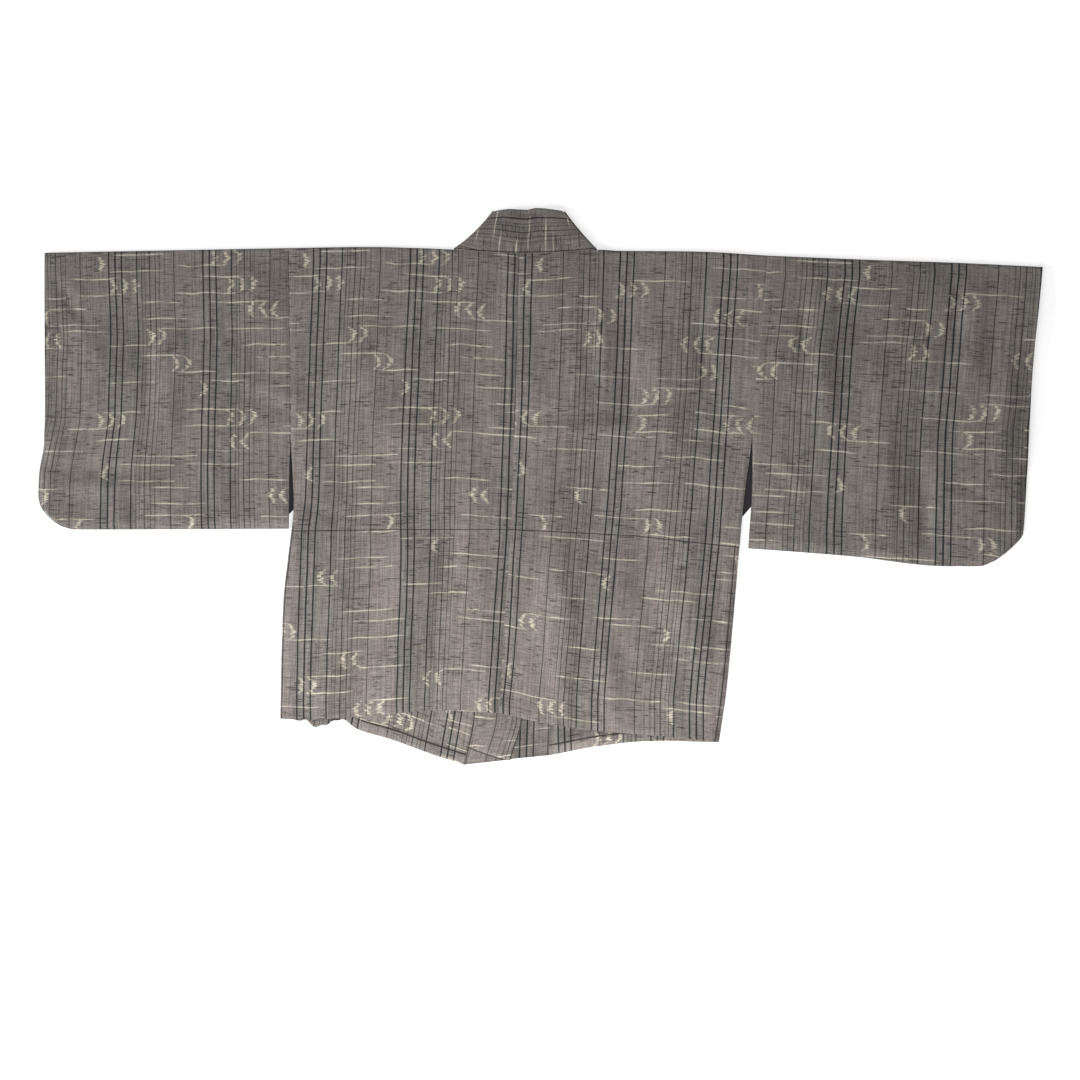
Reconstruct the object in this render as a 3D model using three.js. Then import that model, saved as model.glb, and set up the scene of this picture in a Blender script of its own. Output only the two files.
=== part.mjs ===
// A short haori jacket, laid flat on its front with its back up.
// +X runs across the back from the left sleeve to the right one as seen from above, +Y runs from the
// hem to the collar and +Z points up. The origin is under the middle of the garment, on the surface
// that it lies on. All sizes are in millimetres.
//
// Each piece of cloth is a wall of even thickness round a grid of points: a front layer flat on the
// surface, a fold at the shoulder, and a back layer lying on the front one. The collar is one long
// band that runs up one front edge, turns over, passes behind the neck and runs down the other edge.
import * as THREE from "three";

// ---- driving sizes ----

const CLOTH = 1.5; // one layer of the garment: outer cloth, lining and the air between them
const BAND = 2.6; // the collar band, folded double
const LINING = 1.0; // the strip of lining that shows in each armhole
const SEAM_GAP = 0.3; // between two pieces sewn edge to edge
const NECK_GAP = 1.0; // from the neck point to the start of the collar's turn
const FOLD_RADIUS = 1.6; // of the cloth's middle at the shoulder and the top of the sleeve
const TURN_RADIUS = 1.5; // of the band's middle where the collar turns over
const BAND_LIFT = 3.0; // of the left band, where it lies on the right one
const FOLD_STEPS = 4;

const FRONT_Z = CLOTH / 2; // the middle of the layer that lies on the surface
const BACK_Z = FRONT_Z + 2 * FOLD_RADIUS; // the middle of the layer that lies on it
const SEWN_Z = FRONT_Z + CLOTH + SEAM_GAP; // the back layer's middle where it is sewn to the front one
const SHOULDER_INSET = FOLD_RADIUS + CLOTH / 2;
const TURN_INSET = TURN_RADIUS + BAND / 2;
const BAND_LOW_Z = BAND / 2;
const BAND_HIGH_Z = BAND_LOW_Z + 2 * TURN_RADIUS;

// ---- where the columns and rows of each panel are, as shares of its width and length ----

const even = (count, end = 1, start = 0) =>
  Array.from({ length: count + 1 }, (_, k) => start + ((end - start) * k) / count);

const BODY_DOWN = even(20);
const BODY_ACROSS = even(10);
const NECK_COLUMN = 7; // columns from here to the centre end at the neck
const NECK_SHARE = BODY_ACROSS[NECK_COLUMN];
const SLEEVE_DOWN = [...even(8, 2 / 3), 0.75, 0.83, 0.9, 0.95, 0.98, 1];
const SLEEVE_ACROSS = [0, 0.13, 0.26, 0.39, 0.52, 0.65, 0.78, 0.88, 0.94, 0.975, 1];
const COLLAR_ACROSS = even(4);
const COLLAR_NECK_ROWS = even(8);
const LINING_DOWN = even(6);

// ---- outlines: at is the share of the way along the edge ----

const CENTRE_BACK = [
  { at: 0, x: -28, y: 297 },
  { at: 0.4, x: -34, y: 63 },
  { at: 0.6, x: -38, y: -55 },
  { at: 0.8, x: -46, y: -172 },
  { at: 1, x: -53, y: -289 },
];

const LEFT = {
  side: [
    { at: 0, x: -322, y: 305 },
    { at: 0.4, x: -319, y: 71 },
    { at: 0.5, x: -316, y: 8 },
    { at: 0.55, x: -315, y: -22 },
    { at: 0.65, x: -320, y: -86 },
    { at: 0.75, x: -328, y: -146 },
    { at: 1, x: -331, y: -297 },
  ],
  shoulder: [
    { at: 0, x: -322, y: 305 },
    { at: 0.35, x: -220, y: 308 },
    { at: 0.7, x: -109, y: 303 },
    { at: 1, x: -28, y: 297 },
  ],
  backHem: [
    { at: 0, x: -331, y: -297 },
    { at: 0.1, x: -301, y: -298 },
    { at: 0.4, x: -218, y: -293 },
    { at: 0.7, x: -128, y: -286 },
    { at: 1, x: -53, y: -289 },
  ],
  frontEdge: [
    { at: 0, x: -109, y: 303 },
    { at: 0.9, x: -86, y: -287 },
    { at: 1, x: -98, y: -356 },
  ],
  frontHem: [
    { at: 0, x: -331, y: -297 },
    { at: 0.2, x: -285, y: -305 },
    { at: 0.4, x: -237, y: -306 },
    { at: 0.6, x: -184, y: -326 },
    { at: 0.8, x: -138, y: -343 },
    { at: 1, x: -98, y: -356 },
  ],
  bandEdge: [
    { at: 0, x: -67, y: 351 },
    { at: 0.1, x: -46, y: 277 },
    { at: 0.9, x: -23, y: -290 },
    { at: 1, x: -38, y: -349 },
  ],
  collarTurn: { neck: [-109, 303], pull: [-72, 319], top: [-67, 351] },
  sleeveInner: [
    { at: 0, x: -322, y: 305 },
    { at: 2 / 3, x: -319, y: 71 },
    { at: 0.78, x: -321, y: 30 },
    { at: 1, x: -322, y: -54 },
  ],
  sleeveOuter: [
    { at: 0, x: -634, y: 299 },
    { at: 0.6, x: -633, y: 98 },
    { at: 0.7, x: -634, y: 62 },
    { at: 0.83, x: -641, y: 15 },
    { at: 0.9, x: -642, y: -10 },
    { at: 0.95, x: -640, y: -23 },
    { at: 1, x: -630, y: -38 },
  ],
  sleeveTop: [
    { at: 0, x: -322, y: 305 },
    { at: 0.5, x: -480, y: 302 },
    { at: 1, x: -634, y: 299 },
  ],
  sleeveBottom: [
    { at: 0, x: -322, y: -54 },
    { at: 0.88, x: -594, y: -55 },
    { at: 0.94, x: -612, y: -51 },
    { at: 1, x: -630, y: -38 },
  ],
  liningSleeveEdge: [
    { at: 0, x: -330, y: 68 },
    { at: 1, x: -330, y: -44 },
  ],
  liningBodyEdge: [
    { at: 0, x: -306, y: 68 },
    { at: 1, x: -306, y: -20 },
  ],
};

const RIGHT = {
  side: [
    { at: 0, x: 290, y: 295 },
    { at: 0.4, x: 271, y: 70 },
    { at: 0.5, x: 260, y: -14 },
    { at: 0.6, x: 254, y: -78 },
    { at: 0.75, x: 246, y: -172 },
    { at: 0.9, x: 237, y: -265 },
    { at: 1, x: 228, y: -327 },
  ],
  shoulder: [
    { at: 0, x: 290, y: 295 },
    { at: 0.3, x: 204, y: 300 },
    { at: 0.4, x: 175, y: 305 },
    { at: 0.7, x: 74, y: 303 },
    { at: 1, x: -28, y: 297 },
  ],
  backHem: [
    { at: 0, x: 228, y: -327 },
    { at: 0.2, x: 175, y: -321 },
    { at: 0.4, x: 116, y: -316 },
    { at: 0.6, x: 60, y: -311 },
    { at: 0.8, x: 4, y: -302 },
    { at: 1, x: -53, y: -289 },
  ],
  frontEdge: [
    { at: 0, x: 74, y: 303 },
    { at: 0.9, x: 13, y: -287 },
    { at: 1, x: 11, y: -344 },
  ],
  frontHem: [
    { at: 0, x: 228, y: -322 },
    { at: 0.4, x: 140, y: -323 },
    { at: 0.7, x: 77, y: -330 },
    { at: 1, x: 11, y: -344 },
  ],
  bandEdge: [
    { at: 0, x: 34, y: 351 },
    { at: 0.1, x: 12, y: 277 },
    { at: 0.9, x: -51, y: -290 },
    { at: 1, x: -62, y: -351 },
  ],
  collarTurn: { neck: [74, 303], pull: [54, 327], top: [34, 351] },
  sleeveInner: [
    { at: 0, x: 290, y: 295 },
    { at: 2 / 3, x: 271, y: 70 },
    { at: 0.8, x: 271, y: 11 },
    { at: 1, x: 266, y: -79 },
  ],
  sleeveOuter: [
    { at: 0, x: 642, y: 281 },
    { at: 0.4, x: 628, y: 136 },
    { at: 0.83, x: 620, y: -20 },
    { at: 0.95, x: 617, y: -60 },
    { at: 1, x: 600, y: -81 },
  ],
  sleeveTop: [
    { at: 0, x: 290, y: 295 },
    { at: 0.34, x: 409, y: 287 },
    { at: 1, x: 642, y: 281 },
  ],
  sleeveBottom: [
    { at: 0, x: 266, y: -79 },
    { at: 0.39, x: 396, y: -89 },
    { at: 0.78, x: 523, y: -102 },
    { at: 0.88, x: 560, y: -102 },
    { at: 0.94, x: 578, y: -96 },
    { at: 1, x: 600, y: -81 },
  ],
  liningSleeveEdge: [
    { at: 0, x: 282, y: 62 },
    { at: 1, x: 282, y: -12 },
  ],
  liningBodyEdge: [
    { at: 0, x: 250, y: 62 },
    { at: 1, x: 250, y: -48 },
  ],
};

// The collar's seam to the neck and its folded top edge, by the share of the way from left to right.
const NECK_DIP = 5; // of the seam, below the line between the two neck points
const COLLAR_TOP = [
  { at: 0, y: 351 },
  { at: 0.25, y: 355 },
  { at: 0.5, y: 353 },
  { at: 0.625, y: 356 },
  { at: 1, y: 351 },
];

// Where the cuff opening ends and the side seam starts, as shares of the way down.
const CUFF_OPENING = 0.7;
const SIDE_SEAM_START = 0.62;

// The largest soft folds in the upper layer. Each is a low ridge from one point to another.
const RIDGES = [
  { x1: -162, y1: -120, x2: -152, y2: -300, width: 30, height: 1.7 },
  { x1: 46, y1: -180, x2: 56, y2: -320, width: 26, height: 1.4 },
  { x1: 152, y1: -150, x2: 166, y2: -330, width: 32, height: 1.8 },
  { x1: -240, y1: 210, x2: -180, y2: 20, width: 38, height: 1.2 },
  { x1: 120, y1: 220, x2: 180, y2: 40, width: 40, height: 1.3 },
  { x1: -436, y1: 130, x2: -446, y2: -60, width: 36, height: 1.5 },
  { x1: -560, y1: 240, x2: -540, y2: 60, width: 34, height: 1.2 },
  { x1: 350, y1: 230, x2: 420, y2: -90, width: 40, height: 1.5 },
  { x1: 540, y1: 220, x2: 520, y2: 0, width: 36, height: 1.3 },
];

// The rise of the back over the crossed collar bands.
const CROSSING = { x: -45, halfFlat: 52, halfWidth: 125, yTop: 30, yFlat: -62 };

// ---- curves and heights ----

const mix = (a, b, share) => a + (b - a) * share;

// 0 before start and 1 after end, with a smooth rise between them. Start may be the larger.
function smooth(value, start, end) {
  const share = Math.min(1, Math.max(0, (value - start) / (end - start)));
  return share * share * (3 - 2 * share);
}

// The value of one column of a table at a share of the way along it.
function read(table, at, column) {
  const next = Math.max(1, table.findIndex((row) => row.at >= at - 1e-9));
  const [a, b] = [table[next - 1], table[next]];
  return mix(a[column], b[column], (at - a.at) / (b.at - a.at));
}

const along = (table, at) => [read(table, at, "x"), read(table, at, "y")];

// A point inside four edges: first and last run down the panel, top and bottom across it.
function patch(first, last, top, bottom, across, down) {
  return [0, 1].map((k) => {
    const straight = mix(first(down)[k], last(down)[k], across);
    const bowTop = top(across)[k] - mix(top(0)[k], top(1)[k], across);
    const bowBottom = bottom(across)[k] - mix(bottom(0)[k], bottom(1)[k], across);
    return straight + bowTop * (1 - down) + bowBottom * down;
  });
}

function ridgeRise(x, y) {
  return RIDGES.reduce((rise, { x1, y1, x2, y2, width, height }) => {
    const [dx, dy] = [x2 - x1, y2 - y1];
    const share = ((x - x1) * dx + (y - y1) * dy) / (dx * dx + dy * dy);
    const away = Math.hypot(x - x1 - share * dx, y - y1 - share * dy) / width;
    return rise + height * Math.exp(-away * away) * smooth(share, -0.2, 0.2) * smooth(share, 1.2, 0.8);
  }, 0);
}

function crossingRise(x, y) {
  const { halfFlat, halfWidth, yTop, yFlat } = CROSSING;
  return BAND_LIFT * smooth(Math.abs(x - CROSSING.x), halfWidth, halfFlat) * smooth(y, yTop, yFlat);
}

// ---- walls ----

// The direction across the sheet at a point of the grid, from the points round it that are there.
function normalAt(rows, j, i) {
  const point = (row, column) => rows[row]?.[column] ?? null;
  const span = (before, after) =>
    new THREE.Vector3().subVectors(after ?? rows[j][i], before ?? rows[j][i]);
  const alongRow = span(point(j, i - 1), point(j, i + 1));
  const alongColumn = span(point(j - 1, i), point(j + 1, i));
  return alongRow.cross(alongColumn).normalize();
}

function signedVolume(positions, triangles) {
  const [a, b, c] = [0, 1, 2].map(() => new THREE.Vector3());
  let volume = 0;
  for (let k = 0; k < triangles.length; k += 3) {
    [a, b, c].forEach((corner, n) => corner.fromArray(positions, triangles[k + n] * 3));
    volume += a.dot(b.cross(c)) / 6;
  }
  return volume;
}

// A closed wall of even thickness round a grid of points. A null in the grid leaves a gap.
function wall(rows, thickness) {
  const columns = rows[0].length;
  const positions = [];
  rows.forEach((row, j) =>
    row.forEach((point, i) => {
      const half = point ? normalAt(rows, j, i).multiplyScalar(thickness / 2) : null;
      for (const side of [1, -1]) {
        const moved = point ? point.clone().addScaledVector(half, side) : new THREE.Vector3();
        positions.push(moved.x, moved.y, moved.z);
      }
    }),
  );
  const upper = ([j, i]) => 2 * (j * columns + i);
  const lower = (corner) => upper(corner) + 1;
  const hasCell = (j, i) =>
    [rows[j]?.[i], rows[j]?.[i + 1], rows[j + 1]?.[i], rows[j + 1]?.[i + 1]].every(Boolean);

  const triangles = [];
  const quad = (a, b, c, d) => triangles.push(a, b, c, a, c, d);
  for (let j = 0; j < rows.length - 1; j += 1)
    for (let i = 0; i < columns - 1; i += 1) {
      if (!hasCell(j, i)) continue;
      const corners = [[j, i], [j, i + 1], [j + 1, i + 1], [j + 1, i]];
      const beyond = [[j - 1, i], [j, i + 1], [j + 1, i], [j, i - 1]];
      quad(...corners.map(upper));
      quad(...corners.map(lower).reverse());
      beyond.forEach(([row, column], side) => {
        if (hasCell(row, column)) return;
        const [from, to] = [corners[side], corners[(side + 1) % 4]];
        quad(upper(to), upper(from), lower(from), lower(to));
      });
    }
  if (signedVolume(positions, triangles) < 0) triangles.reverse();
  const geometry = new THREE.BufferGeometry();
  geometry.setAttribute("position", new THREE.Float32BufferAttribute(positions, 3));
  geometry.setIndex(triangles);
  return geometry;
}

// The half circle that joins the front layer to the back one, past a fold line, without its ends.
const foldAngles = even(FOLD_STEPS, Math.PI / 2, -Math.PI / 2).slice(1, -1);

function foldPoint([x, y], angle) {
  const z = FRONT_Z + FOLD_RADIUS * (1 + Math.sin(angle));
  return new THREE.Vector3(x, y + FOLD_RADIUS * Math.cos(angle), z);
}

// ---- pieces ----

// One length of cloth: front, over the shoulder, and back. The front stops at the neck column.
function bodyPanel(half, outward) {
  const gap = (outward * SEAM_GAP) / 2;
  const side = (at) => {
    const [x, y] = along(half.side, at);
    return [x - gap, y - SHOULDER_INSET * (1 - at)];
  };
  const shoulder = (at) => {
    const [x, y] = along(half.shoulder, at);
    const isNeck = at > NECK_SHARE + 1e-9;
    return [mix(x - gap, x + gap, at), isNeck ? neckDip(x) - 2 * SEAM_GAP : y - SHOULDER_INSET];
  };
  const centre = (at) => {
    const [x, y] = along(CENTRE_BACK, at);
    return [x + gap, at === 0 ? shoulder(1)[1] : y];
  };
  const backHem = (at) => {
    const [x, y] = along(half.backHem, at);
    return [mix(x - gap, x + gap, at), y];
  };
  const frontShoulder = (at) => shoulder(at * NECK_SHARE);
  const frontEdge = (at) => {
    const [x, y] = along(half.frontEdge, at);
    return [x + gap, y - SHOULDER_INSET * (1 - at)];
  };
  const frontHem = (at) => along(half.frontHem, at);

  const isSewn = (at) => at > SIDE_SEAM_START;
  const backRows = BODY_DOWN.map((down) =>
    BODY_ACROSS.map((across, column) => {
      const [x, y] = patch(side, centre, shoulder, backHem, across, down);
      const z = BACK_Z + ridgeRise(x, y) + crossingRise(x, y);
      return new THREE.Vector3(x, y, column === 0 && isSewn(down) ? SEWN_Z : z);
    }),
  );
  const frontRows = BODY_DOWN.map((down) =>
    BODY_ACROSS.map((_, column) => {
      if (column > NECK_COLUMN) return null;
      const across = column / NECK_COLUMN;
      const point = patch(side, frontEdge, frontShoulder, frontHem, across, down);
      return new THREE.Vector3(...point, FRONT_Z);
    }),
  ).reverse();
  const foldRows = foldAngles.map((angle) =>
    BODY_ACROSS.map((across, column) =>
      column > NECK_COLUMN ? null : foldPoint(shoulder(across), angle),
    ),
  );
  return wall([...frontRows, ...foldRows, ...backRows], CLOTH);
}

// One length of cloth folded at the top, sewn to itself at the bottom and below the cuff opening.
function sleeve(half, outward) {
  const gap = (outward * SEAM_GAP) / 2;
  const inset = (edge) => (at) => {
    const [x, y] = along(edge, at);
    return [x, y - SHOULDER_INSET * (1 - at)];
  };
  const inner = (at) => {
    const [x, y] = inset(half.sleeveInner)(at);
    return [x + gap, y];
  };
  const outer = inset(half.sleeveOuter);
  const top = (at) => {
    const [x, y] = along(half.sleeveTop, at);
    return [x + gap * (1 - at), y - SHOULDER_INSET];
  };
  const bottom = (at) => along(half.sleeveBottom, at);
  const place = (down, z) =>
    SLEEVE_ACROSS.map((across) => {
      const [x, y] = patch(inner, outer, top, bottom, across, down);
      return new THREE.Vector3(x, y, z(x, y, across, down));
    });

  const isSewn = (across, down) => down === 1 || (across === 1 && down > CUFF_OPENING);
  const backZ = (x, y, across, down) =>
    isSewn(across, down) ? SEWN_Z : BACK_Z + ridgeRise(x, y);
  const backRows = SLEEVE_DOWN.map((down) => place(down, backZ));
  const frontRows = SLEEVE_DOWN.map((down) => place(down, () => FRONT_Z)).reverse();
  const foldRows = foldAngles.map((angle) =>
    SLEEVE_ACROSS.map((across) => foldPoint(top(across), angle)),
  );
  return wall([...frontRows, ...foldRows, ...backRows], CLOTH);
}

function neckDip(x) {
  const [left, right] = [LEFT.collarTurn.neck[0], RIGHT.collarTurn.neck[0]];
  const share = (x - left) / (right - left);
  return LEFT.collarTurn.neck[1] - NECK_DIP * 4 * share * (1 - share);
}

// The line that the collar turns over on, from the neck seam to the band's folded edge.
function turnLine({ neck, pull, top }, outward) {
  const curve = new THREE.QuadraticBezierCurve(
    ...[neck, pull, top].map(([x, y]) => new THREE.Vector2(x, y)),
  );
  return COLLAR_ACROSS.map((share) => {
    const tangent = curve.getTangent(share);
    const away = new THREE.Vector2(-tangent.y, tangent.x).multiplyScalar(-outward);
    const line = curve.getPoint(share).addScaledVector(away, -TURN_INSET);
    if (share === 0) line.addScaledVector(tangent, NECK_GAP);
    return { line, away };
  });
}

// How far the turn line is from the straight line between its ends.
const bowOf = (turn) =>
  turn.map(({ line }, k) => {
    const straight = turn[0].line.clone().lerp(turn.at(-1).line, COLLAR_ACROSS[k]);
    return line.clone().sub(straight);
  });

const BOW_FADE = 0.25; // the share of a stretch over which the turn's bow dies out

// The band down one front edge, from the turn to the hem.
function frontBandRows(half, outward, turn, liftAt) {
  const bow = bowOf(turn);
  return BODY_DOWN.map((down) => {
    const fade = smooth(down, BOW_FADE, 0);
    const [seamX, seamY] = along(half.frontEdge, down);
    const seam = down === 0 ? turn[0].line : new THREE.Vector2(seamX - outward * SEAM_GAP, seamY);
    const edge = down === 0 ? turn.at(-1).line : new THREE.Vector2(...along(half.bandEdge, down));
    return COLLAR_ACROSS.map((across, k) => {
      const point = seam.clone().lerp(edge, across).addScaledVector(bow[k], fade);
      return new THREE.Vector3(point.x, point.y, BAND_LOW_Z + liftAt(point, across));
    });
  });
}

function turnRows(turn) {
  return foldAngles.map((angle) =>
    turn.map(({ line, away }) => {
      const point = line.clone().addScaledVector(away, TURN_RADIUS * Math.cos(angle));
      const z = BAND_LOW_Z + TURN_RADIUS * (1 + Math.sin(angle));
      return new THREE.Vector3(point.x, point.y, z);
    }),
  );
}

// The band behind the neck, from the left turn to the right one.
function neckBandRows(leftTurn, rightTurn) {
  const [leftBow, rightBow] = [bowOf(leftTurn), bowOf(rightTurn)];
  return COLLAR_NECK_ROWS.map((share) => {
    const seam = leftTurn[0].line.clone().lerp(rightTurn[0].line, share);
    const edge = leftTurn.at(-1).line.clone().lerp(rightTurn.at(-1).line, share);
    const isEnd = share === 0 || share === 1;
    if (!isEnd) seam.y = neckDip(seam.x) + SEAM_GAP / 2;
    if (!isEnd) edge.y = read(COLLAR_TOP, share, "y");
    return COLLAR_ACROSS.map((across, k) => {
      const point = seam
        .clone()
        .lerp(edge, across)
        .addScaledVector(leftBow[k], smooth(share, BOW_FADE, 0))
        .addScaledVector(rightBow[k], smooth(share, 1 - BOW_FADE, 1));
      return new THREE.Vector3(point.x, point.y, BAND_HIGH_Z);
    });
  });
}

// One band the whole way round. The left end lies on the right one, so it is lifted there.
function collar() {
  const leftTurn = turnLine(LEFT.collarTurn, -1);
  const rightTurn = turnLine(RIGHT.collarTurn, 1);
  const liftLeft = (point, across) =>
    BAND_LIFT * smooth(across, 0, 0.5) * smooth(point.y, 20, -65);
  const rows = [
    ...frontBandRows(LEFT, -1, leftTurn, liftLeft).reverse(),
    ...turnRows(leftTurn),
    ...neckBandRows(leftTurn, rightTurn),
    ...turnRows(rightTurn).reverse(),
    ...frontBandRows(RIGHT, 1, rightTurn, () => 0),
  ];
  return wall(rows, BAND);
}

// The strip of lining that shows between the sleeve and the body, below the armhole seam.
function liningStrip(half) {
  const z = (FRONT_Z + BACK_Z) / 2;
  const rows = LINING_DOWN.map((down) =>
    [half.liningSleeveEdge, half.liningBodyEdge].map(
      (edge) => new THREE.Vector3(...along(edge, down), z),
    ),
  );
  return wall(rows, LINING);
}

// ---- the jacket ----

const kasuriCloth = { color: 0x776f6a, roughness: 0.92, metalness: 0 };
const liningSilk = { color: 0x211c26, roughness: 0.7, metalness: 0 };

const pieces = [
  { name: "body_left", geometry: bodyPanel(LEFT, -1), finish: kasuriCloth },
  { name: "body_right", geometry: bodyPanel(RIGHT, 1), finish: kasuriCloth },
  { name: "sleeve_left", geometry: sleeve(LEFT, -1), finish: kasuriCloth },
  { name: "sleeve_right", geometry: sleeve(RIGHT, 1), finish: kasuriCloth },
  { name: "collar", geometry: collar(), finish: kasuriCloth },
  { name: "lining_left", geometry: liningStrip(LEFT), finish: liningSilk },
  { name: "lining_right", geometry: liningStrip(RIGHT), finish: liningSilk },
];

const haori = new THREE.Group();
for (const { name, geometry, finish } of pieces) {
  const mesh = new THREE.Mesh(geometry, new THREE.MeshStandardMaterial(finish));
  mesh.name = name;
  haori.add(mesh);
}

export default haori;
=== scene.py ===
"""The looks of a short haori jacket that lies flat on its front, back up.

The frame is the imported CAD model: +X across the back, +Y from the hem to the collar, +Z up. Every
table and length below is in millimetres until mesh_from() turns it into metres. The cloth has its
own coordinates, stored as the UV map "cloth": u across the bolt and v down the warp, also in
millimetres, so stripes, ikat and slubs follow the cloth and not the room.
"""

import math

import bpy
import numpy as np
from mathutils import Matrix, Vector


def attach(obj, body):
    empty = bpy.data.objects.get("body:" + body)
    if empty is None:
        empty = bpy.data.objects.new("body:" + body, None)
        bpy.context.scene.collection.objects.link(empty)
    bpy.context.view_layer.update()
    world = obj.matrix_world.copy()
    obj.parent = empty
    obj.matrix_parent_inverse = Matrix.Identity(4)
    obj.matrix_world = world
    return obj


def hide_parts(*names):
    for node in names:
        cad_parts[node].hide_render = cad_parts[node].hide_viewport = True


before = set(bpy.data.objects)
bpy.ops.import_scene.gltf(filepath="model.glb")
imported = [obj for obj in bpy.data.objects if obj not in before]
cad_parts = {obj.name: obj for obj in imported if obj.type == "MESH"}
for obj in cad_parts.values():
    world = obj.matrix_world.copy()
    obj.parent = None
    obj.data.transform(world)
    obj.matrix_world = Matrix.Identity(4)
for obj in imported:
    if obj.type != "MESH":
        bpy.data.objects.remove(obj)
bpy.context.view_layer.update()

MM = 0.001

# ---- driving sizes, as in the CAD model ----

CLOTH = 1.3  # one layer: outer cloth, lining and the air between them
BAND = 2.4
LINING = 0.8
SEAM_GAP = 0.3  # between the collar band and what it is sewn to
PANEL_GAP = -0.2  # below 0: two panels lap at their seam, so that no light comes through
NECK_GAP = 1.0
FOLD_RADIUS = 1.6
TURN_RADIUS = 1.5
BAND_LIFT = 3.0
HEM_TURN = 13.0  # from the edge of a front's hem to its stitches
FRONT_Z = 0.75
BACK_Z = FRONT_Z + 2 * FOLD_RADIUS
SEWN_Z = 2.5
SHOULDER_INSET = 2.35
TURN_INSET = 2.8
BAND_LOW_Z = 1.3
BAND_HIGH_Z = BAND_LOW_Z + 2 * TURN_RADIUS
BAND_LOFT = 0.5  # the band behind the neck lies a little higher than its turns
NECK_SHARE = 0.7  # of the way from the side to the centre, where the neck begins
NECK_DIP = 6
NECK_LAP = 2.5  # of the body's neck edge, tucked in under the collar
NECK_TUCK = 1.3  # how far down that edge goes
SEAM_LAP = 0.5  # of a front under its band
LOFT = 2.4  # the back lies a little higher than its shoulder fold
LOFT_REACH = 60.0
CALM_AT_FOLD = 14.0  # creases start this far below the shoulder fold
LOWEST_DIP = 0.8  # of a sleeve's back, so that it stays clear of its front
FRONT_HEM_RISE = 1.0  # a turned-up hem is thicker
BACK_HEM_RISE = 0.5
FRONT_LOFT = 1.2  # the left front lies a little higher above its hem
ROLL_HEIGHT = 5.0  # of the soft roll in the right front's hem
ROLL_ENDS = (128, 75)  # x where the roll starts and where it is full
ROLL_TO_BAND = 16.0  # it dies out over this far beside the band
RUFFLE_LEAN = 1.4  # how far the ruck's waves lean over, for each millimetre of height
RUCK_LEFT = (-322, -308)  # x where the ruck starts and where it is full
RUCK_RIGHT = (-235, -262)
HEM_STITCHES_END = (-230, -240)  # x over which the stitches die out before the ruck
BANDS_MEET = (20, -65)  # y over which the left band climbs onto the right one

# ---- where seams and openings start and end, as shares of an edge ----

CUFF_OPENING = 0.7
SIDE_SEAM_START = 0.62
SLEEVE_SEAM_END = 0.64
STRAIGHT_BOTTOM = 0.88  # of a sleeve's bottom edge, before its corner

# ---- sewn lines and one painted shade line: how far they lie from an edge, and how they are drawn ----

SIDE_LINE = {"left": 2.0, "right": 5.5}
SLEEVE_LINE = -0.2
BAND_SEAM_LINE = 1.4
BAND_EDGE_LINE = 1.0
# painted shade: a dark line just past the end of the left band's upper layer, at the foot of its
# step
BAND_END_SHADE_LINE = 2.6
WAIST_LINE_SCALE = 1.3  # above 1, a line is thinner
HEM_LINE_SCALE = 0.8  # below 1, it is wider
NO_LINE = 99.0  # a distance too far for any sewn line or painted shade line to show

# ---- where the cloth's v starts ----

FOLD_V = 4.0  # at the shoulder fold
FRONT_V = 143.0  # at a front's hem, past the length of the back

# ---- how finely each piece is divided ----

BODY_COLUMNS = 90
BODY_BACK_ROWS = 170
BODY_FRONT_ROWS = (24, 26)  # above the hem, and in the hem that shows
HEM_SHARE = 0.88  # of the front, where the finer rows begin
SLEEVE_COLUMNS = 88
SLEEVE_BACK_ROWS = 104
SLEEVE_FRONT_ROWS = 30
FOLD_STEPS = 8
COLLAR_COLUMNS = 20
COLLAR_NECK_ROWS = 56
COLLAR_FRONT_ROWS = (40, 72)
LINING_COLUMNS = 12
LINING_ROWS = 60

# ---- outlines: share of the way along the edge, x, y ----

CENTRE_BACK = [(0, -28, 297), (0.4, -34, 63), (0.6, -38, -55), (0.8, -46, -172), (1, -53, -289)]

LEFT = {
    "side": [
        (0, -322, 305), (0.4, -319, 71), (0.5, -316, 8), (0.55, -315, -22), (0.65, -322, -86),
        (0.75, -328.5, -146), (0.87, -331, -216), (1, -332.5, -297),
    ],
    "shoulder": [
        (0, -322, 305), (0.35, -220, 306.5), (0.53, -165, 305.3), (0.7, -109, 303), (1, -28, 297),
    ],
    "back_hem": [
        (0, -332.5, -297), (0.1, -301, -298), (0.4, -218, -293), (0.7, -128, -286),
        (1, -53, -289),
    ],
    "front_edge": [(0, -109, 303), (0.9, -86, -287), (1, -98, -356)],
    "front_hem": [
        (0, -332.5, -297), (0.06, -317, -298), (0.085, -311, -300.5), (0.11, -305, -302),
        (0.13, -301, -300), (0.155, -295, -306), (0.18, -289, -308.5), (0.24, -275, -308.5),
        (0.26, -270, -303), (0.28, -265.5, -300), (0.31, -259, -301.5), (0.34, -252, -300),
        (0.37, -245, -304), (0.42, -233, -311), (0.6, -190, -324), (0.8, -138, -343),
        (1, -98, -356),
    ],
    "band_edge": [(0, -61, 352), (0.1, -46, 277), (0.9, -23, -290), (1, -38, -349)],
    "collar_turn": [(-112, 304), (-84, 322), (-61, 353)],
    "sleeve_inner": [(0, -322, 305), (2 / 3, -319, 71), (0.78, -321, 30), (1, -322, -54)],
    "sleeve_outer": [
        (0, -634, 299), (0.6, -633, 98), (0.7, -634, 62), (0.83, -641, 15), (0.9, -642, -10),
        (0.95, -640, -23), (1, -630, -38),
    ],
    "sleeve_top": [(0, -322, 305), (0.5, -480, 302), (1, -634, 299)],
    "sleeve_bottom": [(0, -322, -54), (0.88, -594, -55), (0.94, -612, -51), (1, -630, -38)],
    "lining_sleeve_edge": [(0, -330, 68), (1, -330, -44)],
    "lining_body_edge": [(0, -306, 68), (1, -306, -20)],
}

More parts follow.
